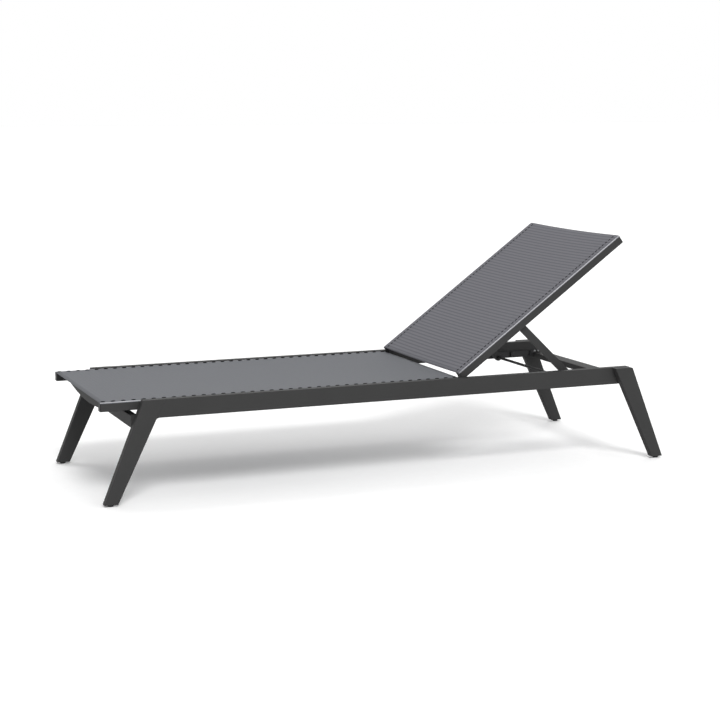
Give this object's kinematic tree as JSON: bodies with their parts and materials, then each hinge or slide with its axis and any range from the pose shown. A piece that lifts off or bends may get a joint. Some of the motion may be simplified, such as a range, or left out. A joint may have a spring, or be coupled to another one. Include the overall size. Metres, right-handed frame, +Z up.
{
  "type": "sun lounger",
  "caption": "Reclining sun lounger with a sling seat and sling back on a painted metal frame with raked legs, a bowed front tube and a backrest propped in a notched rack.",
  "frame": {"origin": "centre of the lounger's footprint, on the floor", "axes": "+X from the foot end to the head end, +Y across to the left side as seen from the foot end, +Z up"},
  "size_m": [1.9992, 0.7514, 0.7848],
  "materials": {
    "graphite_frame": "matte powder coat",
    "sling": "woven coated mesh",
    "black_nylon": "moulded",
    "zinc_steel": "zinc plated",
    "dark_steel": "satin paint"
  },
  "bodies": {
    "frame": {"foot_glide_front_left": "black_nylon", "foot_glide_front_right": "black_nylon", "foot_glide_rear_left": "black_nylon", "foot_glide_rear_right": "black_nylon", "front_crossbeam": "graphite_frame", "front_leg_left": "graphite_frame", "front_leg_right": "graphite_frame", "hinge_pin_left": "zinc_steel", "hinge_pin_right": "zinc_steel", "hinge_washer_left": "black_nylon", "hinge_washer_right": "black_nylon", "rack_bolt_front_left": "zinc_steel", "rack_bolt_front_right": "zinc_steel", "rack_bolt_rear_left": "zinc_steel", "rack_bolt_rear_right": "zinc_steel", "rack_left": "black_nylon", "rack_right": "black_nylon", "rear_crossbeam": "graphite_frame", "rear_leg_bolt_front_left": "zinc_steel", "rear_leg_bolt_front_right": "zinc_steel", "rear_leg_bolt_rear_left": "zinc_steel", "rear_leg_bolt_rear_right": "zinc_steel", "rear_leg_left": "graphite_frame", "rear_leg_right": "graphite_frame", "seat_bolt_front_left": "zinc_steel", "seat_bolt_front_right": "zinc_steel", "seat_bolt_rear_left": "zinc_steel", "seat_bolt_rear_right": "zinc_steel", "seat_cap_front_left": "black_nylon", "seat_cap_front_right": "black_nylon", "seat_cap_rear_left": "black_nylon", "seat_cap_rear_right": "black_nylon", "seat_cross_tube_front": "graphite_frame", "seat_cross_tube_middle": "graphite_frame", "seat_cross_tube_rear": "graphite_frame", "seat_side_tube_left": "graphite_frame", "seat_side_tube_right": "graphite_frame", "seat_sling": "sling", "side_rail_left": "graphite_frame", "side_rail_right": "graphite_frame"},
    "backrest": {"back_cap_head_left": "black_nylon", "back_cap_head_right": "black_nylon", "back_cap_lower_left": "black_nylon", "back_cap_lower_right": "black_nylon", "back_cross_tube_head": "graphite_frame", "back_cross_tube_lower": "graphite_frame", "back_cross_tube_middle": "graphite_frame", "back_side_tube_left": "graphite_frame", "back_side_tube_right": "graphite_frame", "back_sling": "sling", "hinge_leaf_left": "dark_steel", "hinge_leaf_right": "dark_steel", "strut_pivot_pin_left": "zinc_steel", "strut_pivot_pin_right": "zinc_steel"},
    "prop": {"prop_collar_left": "black_nylon", "prop_collar_right": "black_nylon", "prop_rod": "graphite_frame", "prop_strut_left": "graphite_frame", "prop_strut_right": "graphite_frame"}
  },
  "joints": [
    {"name": "backrest_hinge", "type": "hinge", "parent": "frame", "child": "backrest", "pos_m": [0.2095, 0, 0.31], "axis": [0, -1, 0], "range_deg": [-36.04, 20]},
    {"name": "prop_pivot", "type": "hinge", "parent": "backrest", "child": "prop", "pos_m": [0.46283, 0, 0.49432], "axis": [0, -1, 0], "range_deg": [-41.6, 74.7]}
  ],
  "couplings": [
    {"joint": "prop_pivot", "follows": "backrest_hinge", "ratio": -2.07}
  ]
}
